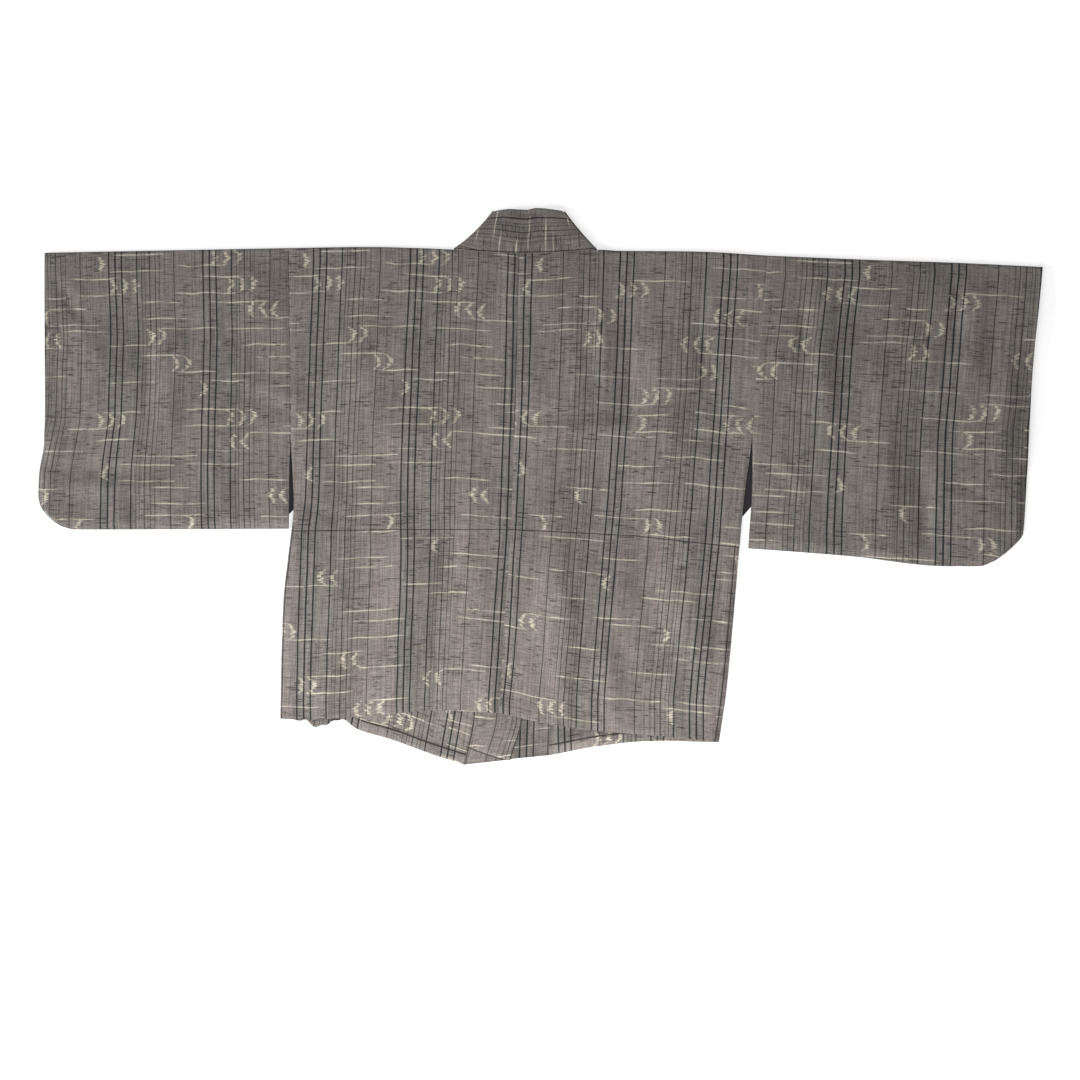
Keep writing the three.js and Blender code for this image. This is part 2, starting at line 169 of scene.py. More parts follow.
RIGHT = {
    "side": [
        (0, 290, 295), (0.4, 271, 70), (0.5, 260, -14), (0.6, 254, -78), (0.75, 246, -172),
        (0.9, 237, -265), (1, 228, -327),
    ],
    "shoulder": [
        (0, 290, 295.5), (0.3, 204, 300.5), (0.4, 175, 301), (0.6, 102, 301.5), (0.7, 74, 303),
        (1, -28, 297),
    ],
    "back_hem": [
        (0, 228, -327), (0.2, 175, -321), (0.4, 116, -316), (0.6, 60, -311), (0.8, 4, -302),
        (1, -53, -289),
    ],
    "front_edge": [(0, 74, 303), (0.9, 13, -287), (1, 11, -344)],
    "front_hem": [(0, 228, -322), (0.4, 140, -323), (0.7, 77, -330), (1, 11, -344)],
    "band_edge": [(0, 31.5, 351), (0.1, 12, 277), (0.9, -51, -290), (1, -62, -351)],
    "collar_turn": [(73, 303), (49.5, 327), (31.5, 352)],
    "sleeve_inner": [(0, 290, 295), (2 / 3, 271, 70), (0.8, 271, 11), (1, 266, -79)],
    "sleeve_outer": [
        (0, 642, 281), (0.4, 628, 136), (0.83, 620, -20), (0.95, 617, -60), (1, 600, -81),
    ],
    "sleeve_top": [(0, 290, 295.5), (0.34, 409, 290.5), (0.7, 537, 286), (1, 642, 281)],
    "sleeve_bottom": [
        (0, 266, -79), (0.39, 396, -89), (0.78, 523, -102), (0.88, 560, -102), (0.94, 578, -96),
        (1, 600, -81),
    ],
    "lining_sleeve_edge": [(0, 282, 62), (1, 282, -12)],
    "lining_body_edge": [(0, 250, 62), (1, 250, -48)],
}

COLLAR_TOP = [(0, 352), (0.2, 354.5), (0.48, 353.5), (0.6, 356), (0.75, 355), (1, 352)]

# ---- the lie of the cloth ----

# Each crease runs from one point to another, and is a ridge if its height is above 0:
# x1, y1, x2, y2, half width, height
CREASES = [
    # left back
    (-108, -20, -140, -275, 17, -4.2),
    (-162, -60, -196, -290, 29, 4.3),
    (-250, -110, -262, -292, 26, 3.0),
    (-85, -80, -70, -285, 22, 3.6),
    (-250, 235, -192, 40, 29, 2.8),
    (-95, 250, -120, 90, 19, 2.2),
    (-300, 150, -240, -10, 17, -1.8),
    (-210, 60, -90, 84, 12, 1.5),
    (-305, -22, -255, -40, 7, -1.5),
    # right back
    (-40, 84, 125, 97, 9, -1.2),
    (-30, 66, 130, 80, 10, 2.2),
    (171, 70, 263, 52, 9, -1.9),
    (58, 235, 62, 103, 8, -1.5),
    (76, 240, 84, 120, 11, 2.2),
    (110, 216, 116, 90, 8, -1.9),
    (148, 200, 150, 120, 17, 3.3),
    (196, 250, 232, 60, 14, -1.8),
    (117, -16, 150, -226, 19, -2.4),
    (185, -40, 196, -240, 22, 3.3),
    (232, -90, 222, -270, 10, -1.8),
    (20, -70, 34, -280, 20, 3.8),
    (-40, -225, -42, -285, 11, -1.9),
    (45, -235, 48, -300, 11, -2.4),
    (84, -200, 92, -306, 15, 3.3),
    (165, -230, 172, -320, 14, 3.0),
    # left sleeve
    (-620, 262, -580, 205, 9, -2.1),
    (-600, 225, -560, 150, 15, 2.2),
    (-502, 190, -500, 80, 10, -2.4),
    (-470, 200, -476, 60, 19, 3.0),
    (-390, 143, -304, 109, 11, 1.5),
    (-380, 118, -312, 90, 10, -0.9),
    (-640, 26, -520, 20, 10, -2.1),
    (-625, 0, -470, -4, 10, 2.8),
    (-420, 40, -400, -50, 17, 2.8),
    (-540, -10, -536, -54, 11, 2.1),
    (-360, 280, -372, 190, 15, 2.1),
    # right sleeve
    (335, 240, 338, 140, 8, -2.1),
    (358, 255, 366, 60, 15, 2.8),
    (533, 262, 530, 186, 8, -1.9),
    (556, 255, 552, 120, 15, 2.5),
    (430, 170, 448, -80, 22, 3.3),
    (480, 60, 496, -90, 10, -1.8),
    (600, 190, 590, 20, 14, 2.2),
    (300, 40, 352, -20, 10, 2.1),
    (520, 10, 600, -30, 10, -1.5),
]

# A crease fades from this far within each of its ends to this far past it, in its length
CREASE_WITHIN = 0.25
CREASE_PAST = 0.15

# Small even waves over everything: wavelength, direction in degrees, phase, height
WAVES = [
    (173, 12, 0.4, 0.50),
    (131, 74, 2.1, 0.36),
    (97, 141, 4.4, 0.26),
    (61, 33, 1.2, 0.17),
    (47, 107, 5.2, 0.12),
    (29, 61, 3.3, 0.045),
    (23, 158, 0.9, 0.04),
]

WAVE_BEND = 0.6  # so that the waves aren't straight
WAVE_BEND_LENGTH = 140

# The back lies higher over the place where the two bands cross
CROSSING = {"x": -45, "half_flat": 52, "half_width": 125, "y_top": 30, "y_flat": -62}

# The tuck round the waist: x, y
WAIST = [(-320, -57), (-180, -55), (-33, -55), (120, -63), (256, -78)]
TUCK_HEIGHT = 0.7
TUCK_STEP = 1.5
TUCK_FADE = (22, 3)

PUCKER_HEIGHT = 0.22  # of the small gathers beside a seam

# One dent and one ridge in the band behind the neck
NECK_DENT = {"x": 6, "y": 327, "half_width": 16, "half_length": 12, "height": -0.9}
NECK_RIDGE = {"x": -34, "y": 325, "lean": 0.3, "half_width": 9, "height": 0.8}

# The gaps in the ruck under the left corner, not modelled but drawn as painted shade: x, y, half
# width
RUCK_GAP_SHADE = [(-307, -299, 5), (-260, -299, 7)]

# ---- where the cloth's main stripes lie: y, then x of one stripe in each repeat ----

REPEAT = 128  # of the stripes, across the bolt

GRAIN = {
    "back_left": [
        (287, -290, -166.5, -41), (85, -297.5, -176, -46.5), (-17, -300.5, -178.5, -50.5),
        (-60, -305, -178.5, -52), (-120, -307.5, -178.5, -56), (-273, -311.5, -183.5, -66),
    ],
    "back_right": [
        (287, -10.5, 120, 251.5), (85, -16, 111, 239), (-17, -21, 103, 232),
        (-120, -27.5, 94, 223), (-222, -34, 85, 213), (-273, -39, 81, 208),
    ],
    "sleeve_left": [
        (287, -552, -432, -308), (188, -548.5, -429.5, -308), (85, -552, -433, -309),
        (20, -561, -433, -309), (-50, -562.5, -433, -308),
    ],
    "sleeve_right": [
        (271, 408, 544.5, 681), (175, 397.5, 535.5, 673), (72, 391, 527, 662),
        (-60, 384.5, 524, 661),
    ],
    "front_left": [(287, -230, -101, 28), (-287, -230, -101, 28), (-356, -243, -112, 18)],
    "front_right": [(287, 38, 157, 285), (-287, 38, 157, 285), (-356, 40, 158, 284)],
}

TOWARDS_RIGHT = {"back_left", "sleeve_left"}  # the panels on which u grows towards +X


# ---- curves and heights ----


def even(count, start=0.0, end=1.0):
    return np.linspace(start, end, count + 1)


def smooth(value, start, end):
    """0 before start and 1 after end, with a smooth rise between. Start may be the larger."""
    share = np.clip((np.asarray(value, float) - start) / (end - start), 0, 1)
    return share * share * (3 - 2 * share)


def curve(table):
    """The smooth line through a table's points: give it shares, get rows of (x, y)."""
    at = np.array([row[0] for row in table], float)
    points = np.array([row[1:] for row in table], float)
    chords = np.diff(points, axis=0) / np.diff(at)[:, None]
    before, after = chords[:-1], chords[1:]
    same_way = before * after > 0
    total = np.where(same_way, before + after, 1)
    inner = np.where(same_way, 2 * before * after / total, 0)
    slopes = np.concatenate([chords[:1], inner, chords[-1:]])

    def place(share):
        share = np.asarray(share, float)
        k = np.clip(np.searchsorted(at, share, side="right") - 1, 0, len(at) - 2)
        step = (at[k + 1] - at[k])[:, None]
        t = (share - at[k])[:, None] / step
        value = points[k] * (1 + 2 * t) * (1 - t) ** 2 + points[k + 1] * t**2 * (3 - 2 * t)
        return value + step * t * (1 - t) * (slopes[k] * (1 - t) - slopes[k + 1] * t)

    return place


def patch(first, last, top, bottom, across, down):
    """Points inside four edges, each a line of (x, y): first and last run down the panel."""
    a = across[None, :, None]
    d = down[:, None, None]

    def bow(edge):
        return edge[None] - (edge[0] + (edge[-1] - edge[0]) * a)

    straight = first[:, None] + (last - first)[:, None] * a
    return straight + bow(top) * (1 - d) + bow(bottom) * d


def crease_rise(x, y):
    rise = np.zeros_like(x)
    for x1, y1, x2, y2, half_width, height in CREASES:
        dx, dy = x2 - x1, y2 - y1
        share = ((x - x1) * dx + (y - y1) * dy) / (dx * dx + dy * dy)
        away = np.hypot(x - x1 - share * dx, y - y1 - share * dy) / half_width
        ends = smooth(share, -CREASE_PAST, CREASE_WITHIN)
        ends = ends * smooth(share, 1 + CREASE_PAST, 1 - CREASE_WITHIN)
        rise += height * np.exp(-away * away) * ends
    return rise


def wave_rise(x, y):
    rise = np.zeros_like(x)
    for length, direction, phase, height in WAVES:
        turn = math.radians(direction)
        way = x * math.cos(turn) + y * math.sin(turn)
        bend = WAVE_BEND * np.sin((x - y) / WAVE_BEND_LENGTH + phase)
        rise += height * np.sin(2 * math.pi * way / length + phase + bend)
    return rise


def crossing_rise(x, y):
    sideways = smooth(np.abs(x - CROSSING["x"]), CROSSING["half_width"], CROSSING["half_flat"])
    return BAND_LIFT * sideways * smooth(y, CROSSING["y_top"], CROSSING["y_flat"])


def waist_line(x):
    xs, ys = zip(*WAIST)
    return np.interp(x, xs, ys)


def tuck_rise(x, y):
    """The cloth above the waist line lies over a narrow pleat, so it stops in a small step."""
    above = y - waist_line(x)
    return TUCK_HEIGHT * smooth(above, -TUCK_STEP, TUCK_STEP) * smooth(above, *TUCK_FADE)


def pucker(along, away, reach=12.0):
    """Small gathers beside a seam. Along runs down the seam and away from it."""
    ripple = np.sin(along / 3.7 + 1.3 * np.sin(along / 17)) * (0.6 + 0.4 * np.sin(along / 41))
    return PUCKER_HEIGHT * ripple * np.exp(-((away / reach) ** 2))


def seam_dip(away, depth=0.9, reach=3.5):
    """The dip of the cloth into a seam."""
    return -depth * np.exp(-((away / reach) ** 2))


def cloth_u(panel, x, y):
    """The place across the bolt of points on a panel, from the rows of its grain table."""
    rows = np.array(GRAIN[panel], float)[::-1]
    heights = rows[:, 0]
    stripes = np.stack([np.interp(y, heights, rows[:, k]) for k in (1, 2, 3)], axis=-1)
    low = (x - stripes[..., 0]) / (stripes[..., 1] - stripes[..., 0])
    high = 1 + (x - stripes[..., 1]) / (stripes[..., 2] - stripes[..., 1])
    share = np.where(low < 1, low, high)
    return REPEAT * share * (1 if panel in TOWARDS_RIGHT else -1)


# ---- walls and meshes ----


def along_rows(grid, axis):
    """The difference between each point's two neighbours, or to the one that is there."""
    ahead = np.roll(grid, -1, axis)
    behind = np.roll(grid, 1, axis)
    last = [slice(None)] * 3
    last[axis] = -1
    ahead[tuple(last)] = np.nan
    last[axis] = 0
    behind[tuple(last)] = np.nan
    ahead = np.where(np.isnan(ahead), grid, ahead)
    behind = np.where(np.isnan(behind), grid, behind)
    return ahead - behind


def add_object(name, data):
    """A new object in the scene, from a mesh, a lamp or a camera."""
    new = bpy.data.objects.new(name, data)
    bpy.context.scene.collection.objects.link(new)
    return new


def mesh_from(name, grid, thickness, maps, material):
    """A closed wall of even thickness round a grid of points. NaN in the grid leaves a gap.

    maps holds a grid of (u, v) for each UV map. The two faces of the wall share them."""
    rows, columns, _ = grid.shape
    normal = np.cross(along_rows(grid, 1), along_rows(grid, 0))
    normal /= np.maximum(np.linalg.norm(normal, axis=-1, keepdims=True), 1e-9)
    half = normal * thickness / 2
    points = np.stack([grid + half, grid - half], axis=2).reshape(-1, 3)

    there = ~np.isnan(grid[..., 0])
    cell = there[:-1, :-1] & there[1:, :-1] & there[:-1, 1:] & there[1:, 1:]
    j, i = np.nonzero(cell)
    a, b = (j * columns + i) * 2, (j * columns + i + 1) * 2
    c, d = ((j + 1) * columns + i + 1) * 2, ((j + 1) * columns + i) * 2
    faces = [np.stack([a, b, c, d], 1), np.stack([d, c, b, a], 1) + 1]
    ring = np.pad(cell, 1)
    beyond = [ring[j, i + 1], ring[j + 1, i + 2], ring[j + 2, i + 1], ring[j + 1, i]]
    for (start, end), neighbour in zip([(a, b), (b, c), (c, d), (d, a)], beyond):
        rim = ~neighbour
        start, end = start[rim], end[rim]
        faces.append(np.stack([end, start, start + 1, end + 1], 1))
    faces = np.concatenate(faces)

    used, faces = np.unique(faces, return_inverse=True)
    faces = faces.reshape(-1, 4)
    points = points[used]
    corner = points[faces]
    volume = np.einsum("ij,ij->", corner[:, 0], np.cross(corner[:, 1], corner[:, 2]))
    volume += np.einsum("ij,ij->", corner[:, 0], np.cross(corner[:, 2], corner[:, 3]))
    if volume < 0:
        faces = faces[:, ::-1]

    mesh = bpy.data.meshes.new(name)
    mesh.from_pydata((points * MM).tolist(), [], faces.tolist())
    for map_name, values in maps.items():
        flat = np.repeat(values.reshape(-1, 2), 2, axis=0)[used]
        layer = mesh.uv_layers.new(name=map_name)
        layer.data.foreach_set("uv", flat[faces.ravel()].ravel())
    mesh.shade_smooth()
    mesh.set_sharp_from_angle(angle=math.radians(50))
    mesh.materials.append(material)
    return add_object(name, mesh)


FOLD_ANGLES = np.linspace(math.pi / 2, -math.pi / 2, FOLD_STEPS + 1)[1:-1][::-1]
NECK_COLUMN = round(NECK_SHARE * BODY_COLUMNS)
BEHIND_NECK = np.arange(BODY_COLUMNS + 1) > NECK_COLUMN


def edge_from_fold(table, down, shift):
    """An edge that starts at a fold line, moved sideways by shift."""
    inset = -SHOULDER_INSET * (1 - down)
    return curve(table)(down) + np.stack([np.full(len(down), shift), inset], 1)


def half_circle(line, away, low_z, radius):
    """Rows of points round a half circle that bulges away, from low_z to the layer above."""
    rows = []
    for angle in FOLD_ANGLES:
        z = low_z + radius * (1 + math.sin(angle))
        point = line + away * radius * math.cos(angle)
        rows.append(np.column_stack([point, np.full(len(line), z)]))
    return np.array(rows)


def fold_layer(line, top_map):
    """The fold at the top of a panel, from its front to its back, with its maps."""
    points = half_circle(line, np.array([0, 1]), FRONT_Z, FOLD_RADIUS)
    cloth = np.broadcast_to(top_map, (len(points), *top_map.shape)).copy()
    cloth[..., 1] = FOLD_V + FOLD_RADIUS * FOLD_ANGLES[:, None]
    return points, cloth, np.full(cloth.shape, NO_LINE)


def edge_distances(x, y):
    """How far points lie from their panel's first column, last column, first row and last row."""
    return np.abs(x - x[:, :1]), np.abs(x - x[:, -1:]), np.abs(y[:1] - y), np.abs(y - y[-1:])


def panel_mesh(name, front, fold, back, material):
    """One folded length of cloth. Each of its layers is a grid of points and its two maps."""
    front = [grid[::-1] for grid in front]
    points, cloth, lines = (np.concatenate(grids) for grids in zip(front, fold, back))
    return mesh_from(name, points, CLOTH, {"cloth": cloth, "lines": lines}, material)


def neck_dip(x):
    """The line that the collar is sewn to behind the neck."""
    left, right = LEFT["collar_turn"][0], RIGHT["collar_turn"][0]
    share = (x - left[0]) / (right[0] - left[0])
    return left[1] - NECK_DIP * 4 * share * (1 - share)


# ---- body ----


def body_panel(name, half, outward, panel, material):
    """One length of cloth: front, over the shoulder, and back. The front stops at the neck."""
    gap = outward * PANEL_GAP / 2
    across = even(BODY_COLUMNS)
    shoulder = curve(half["shoulder"])(across) - [0, SHOULDER_INSET]
    hem = curve(half["back_hem"])(across)
    for edge in (shoulder, hem):
        edge[:, 0] += gap * (2 * across - 1)
    shoulder_y = shoulder[:, 1].copy()
    neck_y = neck_dip(shoulder[:, 0]) + NECK_LAP
    shoulder[:, 1] = np.where(BEHIND_NECK, neck_y, shoulder_y)

    back = body_back(half, gap, panel, shoulder, shoulder_y, hem)
    front = body_front(half, outward, panel, shoulder, hem, panel_length(back[0]))
    fold = fold_layer(shoulder, back[1][0])
    fold[0][:, BEHIND_NECK] = np.nan
    return panel_mesh(name, front, fold, back, material)


def panel_length(points):
    return np.abs(points[0, :, 1] - points[-1, :, 1]).mean()


def body_back(half, gap, panel, shoulder, shoulder_y, hem):
    """Points and maps of one half of the back. Shoulder_y is the shoulder without the neck."""
    down = even(BODY_BACK_ROWS)
    side = edge_from_fold(half["side"], down, -gap)
    centre = curve(CENTRE_BACK)(down) + [gap, 0]
    centre[0, 1] = shoulder[-1, 1]
    flat = patch(side, centre, shoulder, hem, even(BODY_COLUMNS), down)
    x, y = flat[..., 0], flat[..., 1]
    points = np.dstack([x, y, back_height(x, y, down)])

    down_cloth = (shoulder_y - y) / (shoulder_y - hem[:, 1]) * panel_length(points)
    cloth = np.dstack([cloth_u("back_" + panel, x, y), down_cloth + FOLD_V])
    side_line = np.abs(x - x[:, :1]) - SIDE_LINE[panel]
    side_line = np.where(down[:, None] > SIDE_SEAM_START - 0.03, side_line, NO_LINE)
    lines = np.dstack([(y - waist_line(x)) * WAIST_LINE_SCALE, side_line])
    return points, cloth, lines


def back_height(x, y, down):
    """How high the back lies, with its creases, its tuck, and the edges that are sewn down."""
    from_side, from_centre, from_top, from_hem = edge_distances(x, y)
    crossing = crossing_rise(x, y)
    rise = crease_rise(x, y) + wave_rise(x, y)
    rise = rise * smooth(from_top, 0, CALM_AT_FOLD) + crossing + tuck_rise(x, y)
    rise += LOFT * smooth(from_top, 0, LOFT_REACH)
    rise -= NECK_TUCK * BEHIND_NECK * smooth(from_top, 9, 3)
    rise += (pucker(y, from_centre) + pucker(y + 50, from_side)) * smooth(from_top, 0, 20)
    rise += seam_dip(from_centre) + seam_dip(from_side, 0.7)
    rise += BACK_HEM_RISE * smooth(from_hem, 16, 10) * smooth(from_hem, -2, 2)
    z = np.maximum(BACK_Z + rise, BACK_Z - NECK_TUCK + crossing)
    sewn = smooth(down, SIDE_SEAM_START - 0.02, SIDE_SEAM_START + 0.02)[:, None]
    to_seam = sewn * smooth(from_side, 9, 0)
    return z + (SEWN_Z - z) * to_seam


def front_rows(counts):
    """Shares of the way down a front, closer together in the hem that shows."""
    upper, lower = counts
    return np.concatenate([even(upper, 0, HEM_SHARE)[:-1], even(lower, HEM_SHARE, 1)])


def body_front(half, outward, panel, shoulder, back_hem, back_length):
    """Points and maps of one front. The columns behind the neck stay empty."""
    across, down = even(NECK_COLUMN), front_rows(BODY_FRONT_ROWS)
    side = edge_from_fold(half["side"], down, -outward * PANEL_GAP / 2)
    edge = edge_from_fold(half["front_edge"], down, -outward * SEAM_LAP)
    hem = curve(half["front_hem"])(across)
    flat = patch(side, edge, shoulder[: NECK_COLUMN + 1], hem, across, down)
    x, y = flat[..., 0], flat[..., 1]
    from_hem = np.abs(y - y[-1:])
    showing = np.maximum(back_hem[: NECK_COLUMN + 1, 1] - hem[:, 1], 2 * HEM_TURN)
    z = FRONT_Z + front_lie(x, from_hem, showing, panel)
    hem_line = (from_hem - HEM_TURN) * HEM_LINE_SCALE
    gap_shade_line = np.full(x.shape, NO_LINE)
    if panel == "left":
        ruffle = hem_ruffle(x) * smooth(from_hem, 26, 2)
        z = z + ruffle
        y = y + RUFFLE_LEAN * ruffle * smooth(from_hem, 12, 0)
        hem_line = hem_line + NO_LINE * smooth(x, *HEM_STITCHES_END)
        # painted shade: dark patches where the gaps in the ruck would lie in shade
        gap_shade_line = ruck_gap_shade(x, y)

    cloth = np.dstack([cloth_u("front_" + panel, x, y), back_length + FRONT_V + from_hem])
    lines = np.dstack([hem_line, gap_shade_line])
    empty = ((0, 0), (0, BODY_COLUMNS - NECK_COLUMN), (0, 0))
    return (
        np.pad(np.dstack([x, y, z]), empty, constant_values=np.nan),
        np.pad(cloth, empty),
        np.pad(lines, empty, constant_values=NO_LINE),
    )


def front_lie(x, from_hem, showing, panel):
    """The turned-up hem is thicker, and beside the right band it stands up in a soft roll."""
    turned_up = smooth(from_hem, HEM_TURN + 1.5, HEM_TURN - 1) * smooth(from_hem, 0, 4)
    turned_up = FRONT_HEM_RISE * turned_up
    if panel == "left":
        return turned_up + FRONT_LOFT * smooth(from_hem, 15, 60) * smooth(x, -280, -200)
    roll = smooth(from_hem, showing + 2, HEM_TURN) * smooth(from_hem, -4, HEM_TURN)
    from_band = np.abs(x - x[:, -1:])
    ends = smooth(x, *ROLL_ENDS)
    return turned_up + ROLL_HEIGHT * roll * ends * smooth(from_band, 0, ROLL_TO_BAND)


def hem_ruffle(x):
    """The front hem is rucked up under the left corner of the back."""
    reach = smooth(x, *RUCK_LEFT) * smooth(x, *RUCK_RIGHT)
    return reach * (1.5 + 1.3 * np.sin(x / 4.1 + 1.1 * np.sin(x / 9)))


def ruck_gap_shade(x, y):
    """How far a point lies from the dark gaps in that ruck, which are painted shade, in rough
    millimetres.
    """
    away = [np.hypot((x - gx) / half, (y - gy) / 3) - 1 for gx, gy, half in RUCK_GAP_SHADE]
    return 3 * np.maximum(np.minimum(*away), 0)


# ---- sleeves ----


def sleeve(name, half, outward, panel, material):
    """One length of cloth folded at the top, sewn at the bottom and below the cuff opening."""
    gap = outward * PANEL_GAP / 2
    across = even(SLEEVE_COLUMNS)
    top = curve(half["sleeve_top"])(across)
    top += np.stack([gap * (1 - across), np.full(len(across), -SHOULDER_INSET)], 1)
    bottom = curve(half["sleeve_bottom"])(across)

    def flat_points(down):
        inner = edge_from_fold(half["sleeve_inner"], down, gap)
        outer = edge_from_fold(half["sleeve_outer"], down, 0)
        flat = patch(inner, outer, top, bottom, across, down)
        return flat[..., 0], flat[..., 1]

    down = even(SLEEVE_BACK_ROWS)
    x, y = flat_points(down)
    straight = round(STRAIGHT_BOTTOM * SLEEVE_COLUMNS)
    bottom_y = bottom[0, 1] + (bottom[straight, 1] - bottom[0, 1]) * across / STRAIGHT_BOTTOM
    down_cloth = np.abs(y[:1] - y) / (top[:, 1] - bottom_y) * (top[0, 1] - bottom_y[0])
    cloth = np.dstack([cloth_u("sleeve_" + panel, x, y), down_cloth + FOLD_V])
    from_seam = np.abs(x - x[:, :1])
    seam_line = np.where(down[:, None] < SLEEVE_SEAM_END, from_seam - SLEEVE_LINE, NO_LINE)
    lines = np.dstack([np.full(x.shape, NO_LINE), seam_line])
    back = np.dstack([x, y, sleeve_height(x, y, down)]), cloth, lines

    x, y = flat_points(even(SLEEVE_FRONT_ROWS))
    points = np.dstack([x, y, np.full(x.shape, FRONT_Z)])
    front_cloth = np.dstack([cloth_u("sleeve_" + panel, x, y), FOLD_V - np.abs(y[:1] - y)])
    front = points, front_cloth, np.full(front_cloth.shape, NO_LINE)
    return panel_mesh(name, front, fold_layer(top, cloth[0]), back, material)


def sleeve_height(x, y, down):
    """How high a sleeve's upper layer lies, with its creases and the edges that are sewn."""
    from_seam, from_cuff, from_top, from_bottom = edge_distances(x, y)
    rise = (crease_rise(x, y) + wave_rise(x, y)) * smooth(from_top, 0, CALM_AT_FOLD)
    rise += (pucker(y, from_seam) + 0.6 * pucker(y + 30, from_cuff)) * smooth(from_top, 0, 20)
    rise += seam_dip(from_seam, 0.7) + LOFT * smooth(from_top, 0, LOFT_REACH)
    z = np.maximum(BACK_Z + rise, BACK_Z - LOWEST_DIP)
    below_cuff = smooth(down, CUFF_OPENING - 0.02, CUFF_OPENING + 0.04)[:, None]
    closed = np.maximum(smooth(from_bottom, 10, 0), below_cuff * smooth(from_cuff, 10, 0))
    z = z + (SEWN_Z - z) * closed
    return z + pucker(x, from_bottom, 16) * smooth(from_bottom, 0, 5)


# ---- collar ----


def turn_line(points, outward):
    """The line that the collar turns over on, and the direction away from the neck along it."""
    neck, pull, top = (np.array(point, float) for point in points)
    t = even(COLLAR_COLUMNS)[:, None]
    line = neck * (1 - t) ** 2 + pull * 2 * t * (1 - t) + top * t * t
    tangent = 2 * (1 - t) * (pull - neck) + 2 * t * (top - pull)
    tangent /= np.linalg.norm(tangent, axis=1, keepdims=True)
    away = np.stack([-tangent[:, 1], tangent[:, 0]], 1) * -outward
    line = line - away * TURN_INSET
    line[0] += tangent[0] * NECK_GAP
    return line, away


def bow_of(line):
    """How far a line of points bows away from the straight line between its ends."""
    return line - (line[0] + (line[-1] - line[0]) * even(COLLAR_COLUMNS)[:, None])


BOW_FADE = 0.25  # of a band's length, where the bow of its turned end dies out
LEFT_BAND_LENGTH = 655.0
BAND_END = 0.037  # of that length, by which its upper layer stops short at the seam
BAND_STEP = 2.0  # the height of that layer's end
RIGHT_BAND_RISE = 0.3
NECK_LEAN = 0.8  # how far the weft behind the neck stands upright where the band's rows fan out

# How the stripes lie along the band, from its left end to its right one: share of its length,
# place across the bolt at the edge it counts from, and 1 where that edge is the seam
BAND_STRIPES = [(0.05, 56.0, 0), (0.4, 26.0, 0), (0.6, 26.0, 0), (0.95, -20.4, 1)]

ACROSS_BAND = even(COLLAR_COLUMNS)[None, :, None]


def band_map(rows):
    """Cloth coordinates on the band: the warp runs along it, and u is measured from its edge."""
    middle = rows.mean(axis=1)
    steps = np.linalg.norm(np.diff(middle, axis=0), axis=1)
    v = np.concatenate([[0], np.cumsum(steps)])[:, None]
    stations, station_u, from_seam_there = zip(*BAND_STRIPES)
    edge_u = np.interp(v / v[-1], stations, station_u)
    by_seam = np.interp(v / v[-1], stations, from_seam_there)
    from_edge = np.linalg.norm(rows - rows[:, -1:], axis=2)
    from_seam = np.linalg.norm(rows - rows[:, :1], axis=2)
    across = from_edge + (from_seam - from_edge) * by_seam
    behind_neck = np.zeros((len(rows), 1))
    first = sum(COLLAR_FRONT_ROWS) + 1 + len(FOLD_ANGLES)
    behind_neck[first : first + COLLAR_NECK_ROWS + 1] = NECK_LEAN
    upright = (rows[..., 0] - middle[:, :1]) * behind_neck
    return np.dstack([edge_u + across, v + upright])


def past_band_end():
    """How far each point lies past the end of the left band's upper layer, in its length."""
    down = front_rows(COLLAR_FRONT_ROWS)
    return down[:, None] - (1 - BAND_END * (1 - even(COLLAR_COLUMNS)))


def front_band(half, outward, line, rise):
    """The band up one front, on the flat. Rise gives its height from its rows of y."""
    down = front_rows(COLLAR_FRONT_ROWS)
    seam = curve(half["front_edge"])(down) - [outward * SEAM_GAP, 0]
    edge = curve(half["band_edge"])(down)
    seam[0], edge[0] = line[0], line[-1]
    flat = seam[:, None] + (edge - seam)[:, None] * ACROSS_BAND
    flat = flat + bow_of(line)[None] * smooth(down, BOW_FADE, 0)[:, None, None]
    return np.dstack([flat, BAND_LOW_Z + rise(flat[..., 1])])


def left_band_rise(y):
    """The left band lies over the right one, and its upper layer ends in a step."""
    lift = BAND_LIFT * smooth(ACROSS_BAND[..., 0], 0, 0.5) * smooth(y, *BANDS_MEET)
    past_end = past_band_end()
    return lift + BAND_STEP * smooth(past_end, -0.12, -0.04) * smooth(past_end, 0.002, -0.001)


def right_band_rise(y):
    return np.broadcast_to(RIGHT_BAND_RISE * smooth(ACROSS_BAND[..., 0], 0, 0.2), y.shape)


